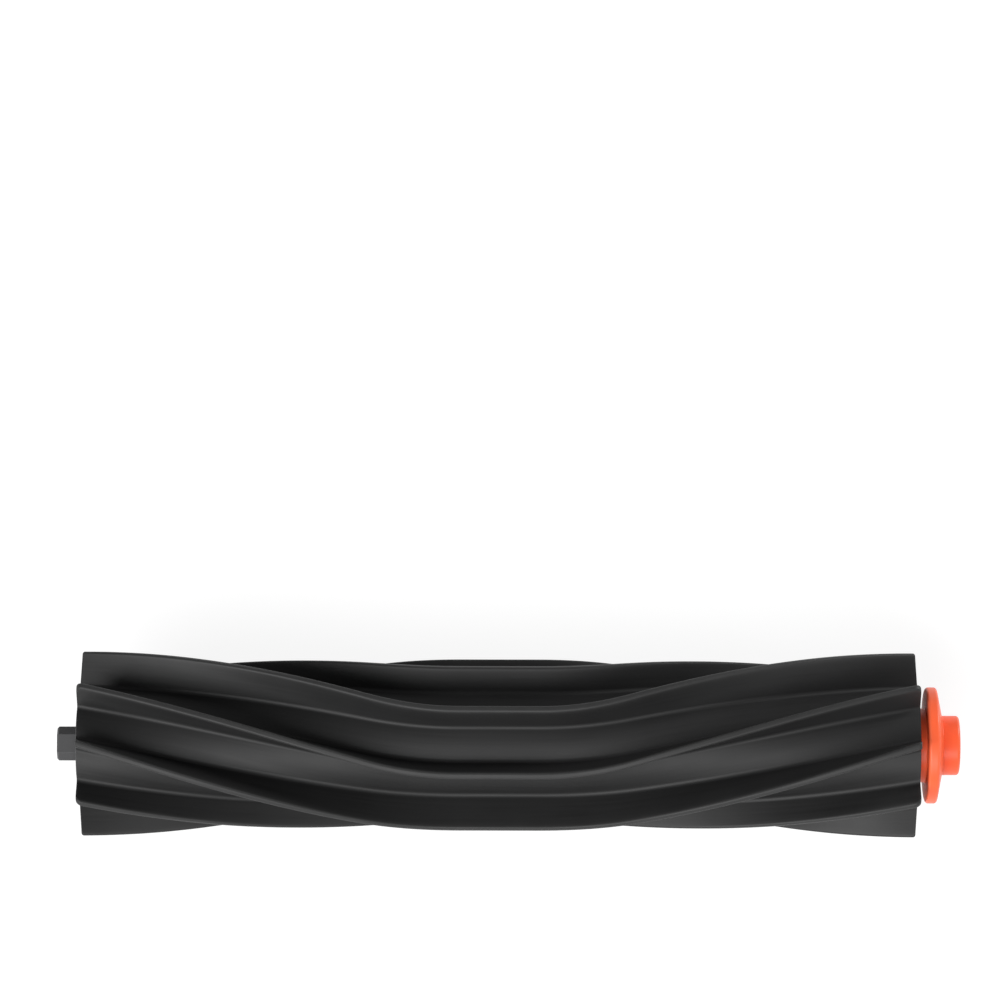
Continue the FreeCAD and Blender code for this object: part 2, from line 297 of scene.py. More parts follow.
class StageSettings(bpy.types.PropertyGroup):
    """Floor, lamps and camera."""

    floor_size: length("Floor Size", "Side of the floor", 12.0)
    floor_colour: colour("Floor Colour", "Pale floor under the roller", (0.82, 0.82, 0.82))
    floor_glow: portion("Floor Glow", "Brightness that the floor shows without any lamp", 0.85)
    shadow_colour: colour("Shadow Colour", "Part of the floor that a shadow dims", (0.24, 0.24, 0.24))
    key_power: power("Key Power", "Power of the large lamp in front", 32.0)
    key_place: lengths("Key Place", "Place of the large lamp", (-0.5, -0.885, 1.069))
    key_sides: lengths("Key Sides", "Sides of the large lamp", (1.9, 0.8))
    fill_power: power("Fill Power", "Power of the small lamp beside the cap", 2.5)
    fill_place: lengths("Fill Place", "Place of the small lamp", (0.5, 0.38, 0.22))
    fill_sides: lengths("Fill Sides", "Sides of the small lamp", (0.2, 0.2))
    sky_strength: portion("Sky Strength", "Faint even light from all round", 0.15)
    view_elevation: angle("View Elevation", "Height of the camera above the horizon", 78.75)
    view_distance: length("View Distance", "Camera to the roller's axis", 1.022)
    view_place: length("View Place", "Place along the axis that the camera faces", -0.001725)
    view_lift: length("View Lift", "How far above the axis the camera aims", 0.0483)
    view_roll: angle("View Roll", "Turn of the camera about its own view", 0.13)
    focal_length: FloatProperty(
        name="Focal Length",
        description="Camera lens in millimetres",
        default=186.2,
        min=1.0,
        unit="CAMERA",
    )


class Field:
    """A value that nodes work out over a shape or a surface, written as a formula."""

    def __init__(self, nodes, socket):
        self.nodes = nodes
        self.socket = socket

    def __add__(self, other):
        return self.nodes.math("ADD", self, other)

    def __radd__(self, other):
        return self.nodes.math("ADD", other, self)

    def __sub__(self, other):
        return self.nodes.math("SUBTRACT", self, other)

    def __rsub__(self, other):
        return self.nodes.math("SUBTRACT", other, self)

    def __mul__(self, other):
        return self.nodes.math("MULTIPLY", self, other)

    def __truediv__(self, other):
        return self.nodes.math("DIVIDE", self, other)

    def __rtruediv__(self, other):
        return self.nodes.math("DIVIDE", other, self)

    def __pow__(self, other):
        return self.nodes.math("POWER", self, other)

    def __mod__(self, other):
        return self.nodes.math("FLOORED_MODULO", self, other)

    def __abs__(self):
        return self.nodes.math("ABSOLUTE", self)

    def __lt__(self, other):
        return self.nodes.math("LESS_THAN", self, other)

    def __gt__(self, other):
        return self.nodes.math("GREATER_THAN", self, other)

    def apply(self, operation, *others):
        """The field after a Math node's operation."""
        return self.nodes.math(operation, self, *others)

    def split(self):
        """The three parts of a vector."""
        parts = self.nodes.add("ShaderNodeSeparateXYZ", {"Vector": self})
        return [Field(self.nodes, socket) for socket in parts.outputs]


class Nodes:
    """Adds nodes to a tree and wires them as they come."""

    ROW_LENGTH = 14
    COLUMN_STEP = 190
    ROW_STEP = 320

    def __init__(self, tree):
        self.tree = tree

    def add(self, kind, feeds=None, **options):
        """Adds a node, sets its options and feeds its inputs with fields, sockets or plain values."""
        row, column = divmod(len(self.tree.nodes), self.ROW_LENGTH)
        node = self.tree.nodes.new(kind)
        node.location = (column * self.COLUMN_STEP, -row * self.ROW_STEP)
        for option, value in options.items():
            setattr(node, option, value)
        for key, value in (feeds or {}).items():
            self.feed(node.inputs[key], value)
        return node

    def feed(self, socket, value):
        """Links a field or a socket to an input, or sets the input's own value."""
        if isinstance(value, Field):
            value = value.socket
        if isinstance(value, bpy.types.NodeSocket):
            self.tree.links.new(value, socket)
        else:
            socket.default_value = value

    def field(self, kind, output=0, feeds=None, **options):
        """Adds a node and gives one of its outputs as a field."""
        return Field(self, self.add(kind, feeds, **options).outputs[output])

    def math(self, operation, *values):
        """A Math node's result."""
        return self.field("ShaderNodeMath", 0, dict(enumerate(values)), operation=operation)

    def attribute(self, name, data_type="FLOAT"):
        """A value that the geometry keeps on its points."""
        feeds = {"Name": name}
        return self.field("GeometryNodeInputNamedAttribute", "Attribute", feeds, data_type=data_type)

    def vector(self, x, y, z):
        """A vector from its three parts."""
        return self.field("ShaderNodeCombineXYZ", 0, {"X": x, "Y": y, "Z": z})

    def mixed_colour(self, factor, first, second):
        """A colour between two others."""
        node = self.add("ShaderNodeMix", data_type="RGBA")
        inputs = [socket for socket in node.inputs if socket.enabled]
        for socket, value in zip(inputs, (factor, first, second)):
            self.feed(socket, value)
        return next(socket for socket in node.outputs if socket.enabled)


def new_group(name, kind, inputs, outputs):
    """Empty node group with named sockets. Gives its nodes and a field for each input."""
    tree = bpy.data.node_groups.new(name, kind)
    for socket_name, socket_kind in inputs.items():
        tree.interface.new_socket(socket_name, in_out="INPUT", socket_type=socket_kind)
    for socket_name, socket_kind in outputs.items():
        tree.interface.new_socket(socket_name, in_out="OUTPUT", socket_type=socket_kind)
    nodes = Nodes(tree)
    source = nodes.add("NodeGroupInput")
    return nodes, {socket_name: Field(nodes, source.outputs[socket_name]) for socket_name in inputs}


def size_inputs(sizes):
    """Socket kinds for the sizes of a property group, under the names that a user sees."""
    kinds = {"FLOAT": FLOAT, "INT": INTEGER}
    return {p.name: kinds[p.type] for p in own_properties(sizes) if p.type in kinds}


def own_properties(settings):
    """Properties that a property group defines itself."""
    return [settings.bl_rna.properties[key] for key in settings.__annotations__]


def set_modifier_inputs(modifier, values):
    """Sets a node modifier's inputs through the identifiers of its sockets."""
    for item in modifier.node_group.interface.items_tree:
        if item.item_type == "SOCKET" and item.in_out == "INPUT":
            modifier[item.identifier] = values[item.name]


def fin_outline(nodes, sizes):
    """Closed outline across the sleeve, with rounded roots and tips of alternating fins."""
    index = nodes.field("GeometryNodeInputIndex")
    fin = (index / OUTLINE_POINTS).apply("FLOOR")
    corner = index % OUTLINE_POINTS
    from_middle = corner - (FIN_CORNERS - 1) / 2
    is_short = fin % 2
    at_tip = abs(from_middle) < 1
    on_floor = from_middle > FIN_CORNERS / 2

    fins = sizes["Fin Pairs"] * 2
    pitch = math.tau / fins
    tip_radius = sizes["Tall Radius"] + (sizes["Short Radius"] - sizes["Tall Radius"]) * is_short
    root_lean = (sizes["Root Width"] / 2 / sizes["Floor Radius"]).apply("ARCSINE")
    tip_lean = (sizes["Tip Width"] / 2 / tip_radius).apply("ARCSINE")
    lean = root_lean + (tip_lean - root_lean) * at_tip
    floor_step = (pitch - root_lean * 2) / (FLOOR_POINTS + 1)
    along_floor = on_floor * (corner - FIN_CORNERS + 1) * floor_step
    turn = fin * pitch + from_middle.apply("SIGN") * lean + along_floor
    radius = sizes["Floor Radius"] + (tip_radius - sizes["Floor Radius"]) * at_tip
    place = nodes.vector(radius * turn.apply("COSINE"), radius * turn.apply("SINE"), 0)

    outline = nodes.field("GeometryNodeCurvePrimitiveCircle", 0, {"Resolution": fins * OUTLINE_POINTS})
    outline = nodes.field("GeometryNodeSetPosition", 0, {"Geometry": outline, "Position": place})
    # Tip mask, by which the rubber's finish paints the tips lighter as wear and highlight
    outline = stored(nodes, outline, "edge", at_tip)
    end_corner = sizes["Tall Corner"] + (sizes["Short Corner"] - sizes["Tall Corner"]) * is_short
    outline = stored(nodes, outline, "end_corner", end_corner)
    outline = stored(nodes, outline, "end_lean", at_tip * (1 - is_short) * sizes["Tall End Lean"])
    rounding = at_tip * sizes["Tip Rounding"] + (1 - at_tip) * (1 - on_floor) * sizes["Root Fillet"]
    fillet = {"Curve": outline, "Count": FILLET_STEPS, "Radius": rounding}
    outline = nodes.field("GeometryNodeFilletCurve", 0, fillet, mode="POLY")
    section = nodes.field("GeometryNodeInputPosition")
    return stored(nodes, outline, "section", section, data_type="FLOAT_VECTOR")


def stored(nodes, geometry, name, value, data_type="FLOAT"):
    """Geometry that keeps a value on its points under a name."""
    return nodes.field(
        "GeometryNodeStoreNamedAttribute",
        0,
        {"Geometry": geometry, "Name": name, "Value": value},
        data_type=data_type,
        domain="POINT",
    )


def chevron_spine(nodes, sizes, middle, reach):
    """Straight spine whose tilt twists the fins from both ends to a straight land at the middle."""
    line = nodes.field("GeometryNodeCurvePrimitiveLine", 0, {"End": (1, 0, 0)})
    line = nodes.field("GeometryNodeResampleCurve", 0, {"Curve": line, "Count": LENGTH_STEPS})
    share = nodes.field("GeometryNodeSplineParameter", "Factor")
    crowded = nodes.vector(middle - (share * math.pi).apply("COSINE") * reach, 0, 0)
    line = nodes.field("GeometryNodeSetPosition", 0, {"Geometry": line, "Position": crowded})

    x = nodes.field("GeometryNodeInputPosition").split()[0]
    past_land = (abs(x - middle) - sizes["Middle Land"] / 2).apply("MAXIMUM", 0)
    bending = past_land.apply("MINIMUM", sizes["Twist Blend"])
    run = bending * bending / (sizes["Twist Blend"] * 2) + past_land - bending
    full_run = reach - sizes["Middle Land"] / 2 - sizes["Twist Blend"] / 2
    tilt = sizes["End Angle"] + sizes["Twist"] * (1 - run / full_run)
    line = nodes.field("GeometryNodeSetCurveNormal", 0, {"Curve": line}, mode="Z_UP")
    return nodes.field("GeometryNodeSetCurveTilt", 0, {"Curve": line, "Tilt": tilt})


def softened_tips(nodes, mesh, sizes, middle, reach):
    """Fins with a slight wander along their tips, leaning ends and rounded end corners."""
    edge = nodes.attribute("edge")
    corner = nodes.attribute("end_corner")
    lean = nodes.attribute("end_lean")
    position = nodes.field("GeometryNodeInputPosition")
    x, y, z = position.split()
    radius = (y * y + z * z).apply("SQRT")
    wave = {"Vector": position, "W": WAVE_SEED, "Scale": 1 / WAVE_PITCH, "Detail": 1.0}
    noise = nodes.field("ShaderNodeTexNoise", 0, wave, noise_dimensions="4D")
    calm_ends = 1 - (abs(x - middle) / reach) ** CALM_POWER
    wander = edge * calm_ends * (noise - NOISE_MEAN) / NOISE_MEAN * sizes["Waviness"] / radius
    offset = nodes.vector(0, 0 - z * wander, y * wander)
    mesh = nodes.field("GeometryNodeSetPosition", 0, {"Geometry": mesh, "Offset": offset})

    into_corner = (corner - reach + abs(x - middle)).apply("MAXIMUM", 0).apply("MINIMUM", corner)
    drop = edge * (corner - (corner * corner - into_corner * into_corner).apply("SQRT"))
    scale = 1 - drop / radius
    leaned = x - lean * (x - middle) / reach
    place = nodes.vector(leaned, y * scale, z * scale)
    return nodes.field("GeometryNodeSetPosition", 0, {"Geometry": mesh, "Position": place})


def closed_bore(nodes, mesh, sizes, middle, reach):
    """Sleeve with flat ends and a bore, welded into one closed skin."""
    open_edge = abs(nodes.field("GeometryNodeInputMeshEdgeNeighbors") - 1) < 0.5
    x, y, z = nodes.field("GeometryNodeInputPosition").split()
    inwards = sizes["Bore Radius"] / (y * y + z * z).apply("SQRT")
    end = middle + (x - middle).apply("SIGN") * reach
    for place in (nodes.vector(end, y * inwards, z * inwards), nodes.vector(middle, y, z)):
        rim = {"Mesh": mesh, "Selection": open_edge, "Offset Scale": 0.0}
        grown = nodes.add("GeometryNodeExtrudeMesh", rim, mode="EDGES").outputs
        moved = {"Geometry": grown["Mesh"], "Selection": grown["Top"], "Position": place}
        mesh = nodes.field("GeometryNodeSetPosition", 0, moved)
    return nodes.field("GeometryNodeMergeByDistance", 0, {"Geometry": mesh, "Distance": WELD_DISTANCE})


def finned_sleeve_tree(sizes):
    """Node tree of the sleeve: fin outlines swept along a twisted spine, with closed ends and a bore."""
    inputs = {**size_inputs(sizes), "Material": MATERIAL}
    nodes, given = new_group("Finned Sleeve", "GeometryNodeTree", inputs, {"Geometry": GEOMETRY})
    middle = (given["Start"] + given["End"]) / 2
    reach = (given["End"] - given["Start"]) / 2
    spine = chevron_spine(nodes, given, middle, reach)
    outline = fin_outline(nodes, given)
    mesh = nodes.field("GeometryNodeCurveToMesh", 0, {"Curve": spine, "Profile Curve": outline})
    mesh = softened_tips(nodes, mesh, given, middle, reach)
    x = nodes.field("GeometryNodeInputPosition").split()[0]
    across, up, _ = nodes.attribute("section", "FLOAT_VECTOR").split()
    mesh = stored(nodes, mesh, "moulded", nodes.vector(x, across, up), data_type="FLOAT_VECTOR")
    mesh = closed_bore(nodes, mesh, given, middle, reach)
    mesh = nodes.field("GeometryNodeSetShadeSmooth", 0, {0: mesh, "Shade Smooth": True}, domain="FACE")
    crease = nodes.field("GeometryNodeInputMeshEdgeAngle", "Unsigned Angle") > CREASE_ANGLE
    sharp = {0: mesh, "Selection": crease, "Shade Smooth": False}
    mesh = nodes.field("GeometryNodeSetShadeSmooth", 0, sharp, domain="EDGE")
    mesh = nodes.field("GeometryNodeRealizeInstances", 0, {"Geometry": mesh})
    mesh = nodes.field("GeometryNodeSetMaterial", 0, {"Geometry": mesh, "Material": given["Material"]})
    nodes.add("NodeGroupOutput", {"Geometry": mesh})
    return nodes.tree


def rounded(corners, closed=False):
    """Points along a flat line of (x, y, rounding) corners, each with an edge share from 0 to 1."""
    points = []
    for i, (x, y, rounding) in enumerate(corners):
        corner = Vector((x, y))
        at_end = not closed and i in (0, len(corners) - 1)
        if at_end or rounding == 0:
            points.append((corner, 0.0))
            continue
        before = (Vector(corners[i - 1][:2]) - corner).normalized()
        after = (Vector(corners[(i + 1) % len(corners)][:2]) - corner).normalized()
        half = before.angle(after) / 2
        centre = corner + (before + after).normalized() * (rounding / math.sin(half))
        first = corner + before * (rounding / math.tan(half)) - centre
        last = corner + after * (rounding / math.tan(half)) - centre
        swing = first.angle_signed(last)
        for step in range(ROUNDING_STEPS + 1):
            share = step / ROUNDING_STEPS
            points.append((centre + turned_by(first, -swing * share), math.sin(math.pi * share)))
    return points


def turned_by(spoke, turn):
    """A flat vector turned anticlockwise."""
    return Matrix.Rotation(turn, 2) @ spoke


def skinned_mesh(name, rings):
    """Closed mesh over rings of points with an edge share each. The first and last rings are one point."""
    vertices = []
    faces = []
    edge_shares = []
    starts = []
    for points, edge_share in rings:
        starts.append(len(vertices))
        vertices += points
        edge_shares += [edge_share] * len(points)
    count = len(rings[1][0])
    for i in range(count):
        j = (i + 1) % count
        faces.append((starts[0], starts[1] + j, starts[1] + i))
        for near, far in zip(starts[1:-2], starts[2:-1]):
            faces.append((near + i, near + j, far + j, far + i))
        faces.append((starts[-2] + i, starts[-2] + j, starts[-1]))
    mesh = bpy.data.meshes.new(name)
    mesh.from_pydata(vertices, [], faces)
    # Edge share, by which the plastic finishes paint rounded edges paler as wear and highlight
    attribute = mesh.attributes.new("edge", "FLOAT", "POINT")
    attribute.data.foreach_set("value", edge_shares)
    mesh.shade_smooth()
    mesh.set_sharp_from_angle(angle=CREASE_ANGLE)
    return mesh


def turned_rings(corners, turns):
    """Rings of points round the axis, along a line of corners. A ring on the axis is one point."""
    rings = []
    for point, edge_share in rounded(corners):
        ring = [Vector((point.x, point.y * math.cos(t), point.y * math.sin(t))) for t in turns]
        rings.append((ring if point.y > 0 else ring[:1], edge_share))
    return rings


def cap_rings(sizes):
    """Rings of the cap, from the bottom of its hollow round the collar and flange to the boss's end."""
    boss_foot = sizes.boss_end - sizes.boss_length
    flange_front = boss_foot - sizes.cone_length
    flange_back = flange_front - sizes.flange_width
    hollow_end = sizes.boss_end - sizes.end_wall
    pocket_end = sizes.collar_end + sizes.pocket_depth
    small = sizes.small_rounding
    corners = [
        (hollow_end, 0, 0),
        (hollow_end, sizes.hollow_radius, small),
        (pocket_end, sizes.hollow_radius, small),
        (pocket_end, sizes.pocket_radius, 0),
        (sizes.collar_end, sizes.pocket_radius, small),
        (sizes.collar_end, sizes.collar_radius, small),
        (flange_back, sizes.collar_radius, small),
        (flange_back, sizes.flange_radius, sizes.flange_rounding),
        (flange_front, sizes.flange_radius, sizes.flange_rounding),
        (boss_foot, sizes.cone_foot_radius, sizes.cone_rounding),
        (boss_foot, sizes.boss_radius, sizes.cone_rounding),
        (sizes.boss_end, sizes.boss_radius, sizes.boss_rounding),
        (sizes.boss_end, 0, 0),
    ]
    return turned_rings(corners, [math.tau * i / TURN_STEPS for i in range(TURN_STEPS)])


def pin_outline(sizes):
    """Points of the square pin's outline across the axis, with bevelled and rounded corners."""
    half = sizes.across_flats / 2
    short = half - sizes.corner_bevel
    flat = [Vector((half, -short)), Vector((half, short))]
    corners = []
    for side in range(PIN_SIDES):
        swing = sizes.pin_turn + math.tau * side / PIN_SIDES
        corners += [(*turned_by(point, swing), sizes.edge_rounding) for point in flat]
    return refined([point for point, _ in rounded(corners, closed=True)])


def refined(outline):
    """A closed outline with points added along its straight runs."""
    points = []
    for here, there in zip(outline, outline[1:] + outline[:1]):
        steps = math.ceil((there - here).length / PIN_OUTLINE_STEP)
        points += [here.lerp(there, step / steps) for step in range(steps)]
    return points


def plug_rings(sizes):
    """Rings of the drive plug, from the pin's end over the flange to the bottom of the hollow spigot."""
    outline = pin_outline(sizes)
    turns = [math.atan2(point.y, point.x) for point in outline]
    half = sizes.across_flats / 2
    flange_face = sizes.pin_end + sizes.pin_length
    flange_back = flange_face + sizes.flange_thickness
    hollow = flange_back + sizes.backing
    inner_radius = sizes.spigot_radius - sizes.spigot_wall
    foot = half + sizes.foot_fillet * 2

    pin_corners = [
        (sizes.pin_end, 0, 0),
        (sizes.pin_end, half - sizes.end_bevel, sizes.bevel_rounding),
        (sizes.pin_end + sizes.end_bevel, half, sizes.bevel_rounding),
        (flange_face, half, sizes.foot_fillet),
        (flange_face, foot, 0),
    ]
    round_corners = [
        (flange_face, foot + sizes.corner_bevel, 0),
        (flange_face, sizes.flange_radius, sizes.flange_rounding),
        (flange_back, sizes.flange_radius, 0),
        (flange_back, sizes.spigot_radius, 0),
        (sizes.spigot_end - sizes.spigot_lead, sizes.spigot_radius, 0),
        (sizes.spigot_end, sizes.spigot_radius - sizes.spigot_lead, 0),
        (sizes.spigot_end, inner_radius, 0),
        (hollow, inner_radius, 0),
        (hollow, 0, 0),
    ]
    rings = [([Vector((sizes.pin_end, 0, 0))], 0.0)]
    for point, edge_share in rounded(pin_corners)[1:]:
        grown = [across * (point.y / half) for across in outline]
        rings.append(([Vector((point.x, *across)) for across in grown], edge_share))
    return rings + turned_rings(round_corners, turns)


def streak_group(name):
    """Shader group: fine streaks along one direction."""
    inputs = {"Vector": VECTOR, "Length": FLOAT, "Width": FLOAT}
    nodes, given = new_group(name, "ShaderNodeTree", inputs, {"Streak": FLOAT})
    scale = nodes.vector(given["Length"], given["Width"], given["Width"])
    stretched = nodes.add("ShaderNodeVectorMath", {0: given["Vector"], 1: scale}, operation="DIVIDE")
    texture = {"Vector": stretched.outputs[0], "Scale": 1.0, "Detail": 4.0, "Roughness": 0.6}
    nodes.add("NodeGroupOutput", {"Streak": nodes.field("ShaderNodeTexNoise", 0, texture)})
    return nodes.tree


def grain_group(name):
    """Shader group: cloudy mottle and fine grain of a moulded surface."""
    inputs = {"Vector": VECTOR, "Cloud": FLOAT, "Grain": FLOAT}
    nodes, given = new_group(name, "ShaderNodeTree", inputs, {"Mottle": FLOAT, "Height": FLOAT})
    cloud = {"Vector": given["Vector"], "Scale": 1 / given["Cloud"], "Detail": 3.0}
    grain = {"Vector": given["Vector"], "Scale": 1 / given["Grain"], "Detail": 2.0, "Roughness": 0.7}
    mottle = nodes.field("ShaderNodeTexNoise", 0, cloud)
    height = nodes.field("ShaderNodeTexNoise", 0, grain)
    nodes.add("NodeGroupOutput", {"Mottle": mottle, "Height": height})
    return nodes.tree


def wear_sheen_group(name):
    """Shader group: patchy lightening of edges and tips, part wear and part painted highlight."""
    inputs = {"Edge": FLOAT, "Vector": VECTOR, "Patch": FLOAT, "Sharpness": FLOAT}
    nodes, given = new_group(name, "ShaderNodeTree", inputs, {"Rub": FLOAT})
    noise = nodes.field("ShaderNodeTexNoise", 0, {"Vector": given["Vector"], "Scale": 1 / given["Patch"]})
    # Lighter patches along the edges: part wear, part painted highlight
    wear_sheen = (given["Edge"] ** given["Sharpness"]) * (WEAR_SHEEN_BASE + noise * WEAR_SHEEN_PATCHES)
    nodes.add("NodeGroupOutput", {"Rub": wear_sheen.apply("MINIMUM", 1.0)})
    return nodes.tree


def shared_group(name, build):
    """A shader group that is built when first asked for, and then found by its name."""
    return bpy.data.node_groups.get(name) or build(name)


class Finishes:
    """Makes finishes from shared effects and the user's settings."""

    def __init__(self, settings):
        self.settings = settings
        self.streaks = shared_group("Drawn Streaks", streak_group)
        self.grain = shared_group("Moulded Grain", grain_group)
        self.wear_sheen = shared_group("Edge Rub", wear_sheen_group)

    def setting(self, name):
        """A number of the user's."""
        return getattr(self.settings, name)

    def tint(self, name):
        """A colour of the user's, with full cover."""
        return (*getattr(self.settings, name), 1.0)

    def start(self, name, **shader_inputs):
        """A new material with its shader. Gives the material, its nodes and the shader."""
        material = bpy.data.materials.new(name)
        material.use_nodes = True
        material.node_tree.nodes.clear()
        nodes = Nodes(material.node_tree)
        shader = nodes.add("ShaderNodeBsdfPrincipled", shader_inputs)
        nodes.add("ShaderNodeOutputMaterial", {"Surface": shader.outputs[0]})
        return material, nodes, shader

    def effect(self, nodes, group, feeds):
        """A shared effect placed in a material."""
        node = nodes.add("ShaderNodeGroup", node_tree=group)
        for key, value in feeds.items():
            nodes.feed(node.inputs[key], value)
        return {socket.name: Field(nodes, socket) for socket in node.outputs}

    def bump(self, nodes, shader, height, distance):
        """Relief of a surface, in metres from low to high."""
        bump = nodes.add("ShaderNodeBump", {"Strength": 1.0, "Distance": distance, "Height": height})
        nodes.feed(shader.inputs["Normal"], bump.outputs[0])

    def rubber(self):
        """Satin black rubber with streaks along the fins and tips painted lighter as wear and highlight.
        """
        gloss = {"Specular IOR Level": self.setting("rubber_gloss")}
        material, nodes, shader = self.start("satin_rubber", **gloss)
        moulded = nodes.add("ShaderNodeAttribute", attribute_name="moulded").outputs["Vector"]
        edge = nodes.add("ShaderNodeAttribute", attribute_name="edge").outputs["Fac"]
        streak = self.effect(nodes, self.streaks, {"Vector": moulded, **RUBBER_STREAKS})["Streak"]
        grain = self.effect(nodes, self.grain, {"Vector": moulded, **RUBBER_GRAIN})
        # Fin tips painted lighter in patches: part wear, part painted highlight
        wear_sheen = self.effect(nodes, self.wear_sheen, {"Edge": edge, "Vector": moulded, **RUBBER_WEAR_SHEEN})["Rub"]
        shade = RUBBER_SHADE + streak * RUBBER_STREAK_SHADE + grain["Mottle"] * RUBBER_MOTTLE_SHADE
        rubber = nodes.mixed_colour(shade.apply("MINIMUM", 1.0), BLACK, self.tint("rubber"))
        worn_and_sheened = nodes.mixed_colour(wear_sheen * WEAR_SHEEN_SHARE, rubber, self.tint("rubber_rub"))
        nodes.feed(shader.inputs["Base Color"], worn_and_sheened)
        unevenness = grain["Mottle"] * RUBBER_MOTTLE_ROUGHNESS + streak * RUBBER_STREAK_ROUGHNESS
        nodes.feed(shader.inputs["Roughness"], unevenness + self.setting("rubber_roughness"))
        height = streak * RUBBER_STREAK_RELIEF + grain["Height"] * RUBBER_GRAIN_RELIEF
        self.bump(nodes, shader, height, RUBBER_RELIEF)
        return material

    def plastic(self, name, part):
        """Moulded plastic of a part: faint mottle, fine grain, edges painted paler as wear and highlight.
        """
        gloss = {"Specular IOR Level": self.setting(part + "_gloss")}
        material, nodes, shader = self.start(name, **gloss)
        place = nodes.add("ShaderNodeTexCoord").outputs["Object"]
        edge = nodes.add("ShaderNodeAttribute", attribute_name="edge").outputs["Fac"]
        grain = self.effect(nodes, self.grain, {"Vector": place, **PLASTIC_GRAIN})
        # Rounded edges painted paler: part wear, part painted highlight
        wear_sheen = self.effect(nodes, self.wear_sheen, {"Edge": edge, "Vector": place, **PLASTIC_RUB})["Rub"]
        paler = (wear_sheen * WEAR_SHEEN_SHARE + grain["Mottle"] * PLASTIC_MOTTLE_SHADE).apply("MINIMUM", 1.0)
        tint = nodes.mixed_colour(paler, self.tint(part), self.tint(part + "_rub"))
        nodes.feed(shader.inputs["Base Color"], tint)
        unevenness = (grain["Mottle"] - NOISE_MEAN) * PLASTIC_MOTTLE_ROUGHNESS
        nodes.feed(shader.inputs["Roughness"], unevenness + self.setting(part + "_roughness"))
        self.bump(nodes, shader, grain["Height"], PLASTIC_RELIEF)
        return material

    def metal(self, name, metal, work):
        """Metal with fine marks of how it was worked and dull patches."""
        material, nodes, shader = self.start(name, Metallic=1.0)
        place = nodes.add("ShaderNodeTexCoord").outputs["Object"]
        width = self.setting(work + "_marks")
        marks = {"Vector": place, "Length": width, "Width": width * MARK_STRETCH}
        streak = self.effect(nodes, self.streaks, marks)["Streak"]
        mottle = self.effect(nodes, self.grain, {"Vector": place, **METAL_GRAIN})["Mottle"]
        dulled = (streak * METAL_STREAK_SHADE + mottle * METAL_MOTTLE_SHADE).apply("MINIMUM", 1.0)
        tint = nodes.mixed_colour(dulled, self.tint(metal), self.tint(metal + "_dull"))
        nodes.feed(shader.inputs["Base Color"], tint)
        unevenness = dulled * METAL_DULL_ROUGHNESS
        nodes.feed(shader.inputs["Roughness"], unevenness + self.setting(work + "_roughness"))
        self.bump(nodes, shader, streak, METAL_RELIEF)
        return material


def floor_material(stage):
    """Pale floor that the camera sees as white, with the roller's shadow kept."""
    material = bpy.data.materials.new("pale_floor")
    material.use_nodes = True
    material.node_tree.nodes.clear()
    nodes = Nodes(material.node_tree)
    place = nodes.add("ShaderNodeTexCoord").outputs["Object"]
    tone = nodes.field("ShaderNodeTexNoise", 0, {"Vector": place, "Scale": FLOOR_MOTTLE_SCALE})
    pale = (*stage.floor_colour, 1.0)
    greyer = (*(part * (1 - FLOOR_MOTTLE) for part in stage.floor_colour), 1.0)
    paint = nodes.add("ShaderNodeBsdfDiffuse", {"Color": nodes.mixed_colour(tone, greyer, pale)})
    dimmed = nodes.add("ShaderNodeBsdfDiffuse", {"Color": (*stage.shadow_colour, 1.0)})
    glow = nodes.add("ShaderNodeEmission", {"Color": WHITE, "Strength": stage.floor_glow})
    shown = nodes.add("ShaderNodeAddShader", {0: dimmed.outputs[0], 1: glow.outputs[0]})
    parts = {0: seen_rays(nodes), 1: paint.outputs[0], 2: shown.outputs[0]}
    floor = nodes.add("ShaderNodeMixShader", parts)
    nodes.add("ShaderNodeOutputMaterial", {"Surface": floor.outputs[0]})
    return material


def seen_rays(nodes):
    """One for rays that show the background: straight to the camera, or by gloss or clear material."""
    path = nodes.add("ShaderNodeLightPath")
    seen = Field(nodes, path.outputs["Is Camera Ray"])
    for ray in ("Is Glossy Ray", "Is Transmission Ray"):
        seen = seen.apply("MAXIMUM", Field(nodes, path.outputs[ray]))
    return seen


def add_object(name, data):
    """New object at the origin, in the scene."""
    thing = bpy.data.objects.new(name, data)
    bpy.context.scene.collection.objects.link(thing)
    return thing


def facing(place, target, roll=0.0):
    """Matrix of a camera or lamp at a place that looks at a target."""
    look = (target - place).to_track_quat("-Z", "Y").to_matrix().to_4x4()
    return Matrix.Translation(place) @ look @ Matrix.Rotation(roll, 4, "Z")


def freeze(piece):
    """Gives a piece the mesh that its modifiers make, with flat faces kept flat, and takes them off."""
    piece.modifiers.new("Flat Faces", "WEIGHTED_NORMAL").keep_sharp = True
    graph = bpy.context.evaluated_depsgraph_get()
    finished = bpy.data.meshes.new_from_object(
        piece.evaluated_get(graph), preserve_all_data_layers=True, depsgraph=graph
    )
    first = piece.data
    piece.modifiers.clear()
    piece.data = finished
    bpy.data.meshes.remove(first)
    finished.name = piece.name


def fit_piece(piece, body, node):
    """Lets a finished piece stand for its CAD node and move with the node's body."""
    freeze(piece)
    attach(piece, body)
    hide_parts(node)


